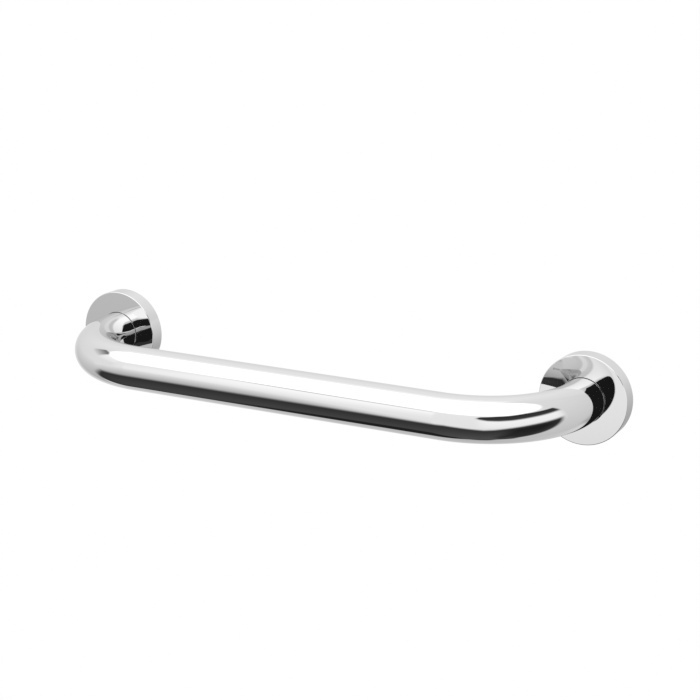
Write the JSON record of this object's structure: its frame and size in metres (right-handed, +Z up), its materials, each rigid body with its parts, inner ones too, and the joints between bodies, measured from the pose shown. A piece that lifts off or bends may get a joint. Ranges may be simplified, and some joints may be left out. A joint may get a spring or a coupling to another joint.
{
  "type": "grab bar",
  "caption": "Wall-mounted grab bar: a round polished tube bent to a U, each leg welded to a screw plate that a sliding round cover hides.",
  "frame": {"origin": "on the wall plane, midway between the two legs, at the height of the bar", "axes": "+X along the bar, +Y into the wall, +Z up; the bar stands out towards -Y"},
  "size_m": [0.35, 0.0825, 0.05],
  "materials": {
    "polished_steel": "mirror polished",
    "plate_steel": "mill finish",
    "weld_metal": "as welded"
  },
  "bodies": {
    "bar": {"bent_tube": "polished_steel", "left_mounting_plate": "plate_steel", "right_mounting_plate": "plate_steel", "left_weld": "weld_metal", "right_weld": "weld_metal"},
    "left_cover": {"left_cover": "polished_steel"},
    "right_cover": {"right_cover": "polished_steel"}
  },
  "joints": [
    {"name": "left_cover_slide", "type": "slide", "parent": "bar", "child": "left_cover", "axis": [0, -1, 0], "range_m": [0, 0.009]},
    {"name": "right_cover_slide", "type": "slide", "parent": "bar", "child": "right_cover", "axis": [0, -1, 0], "range_m": [0, 0.009]}
  ]
}
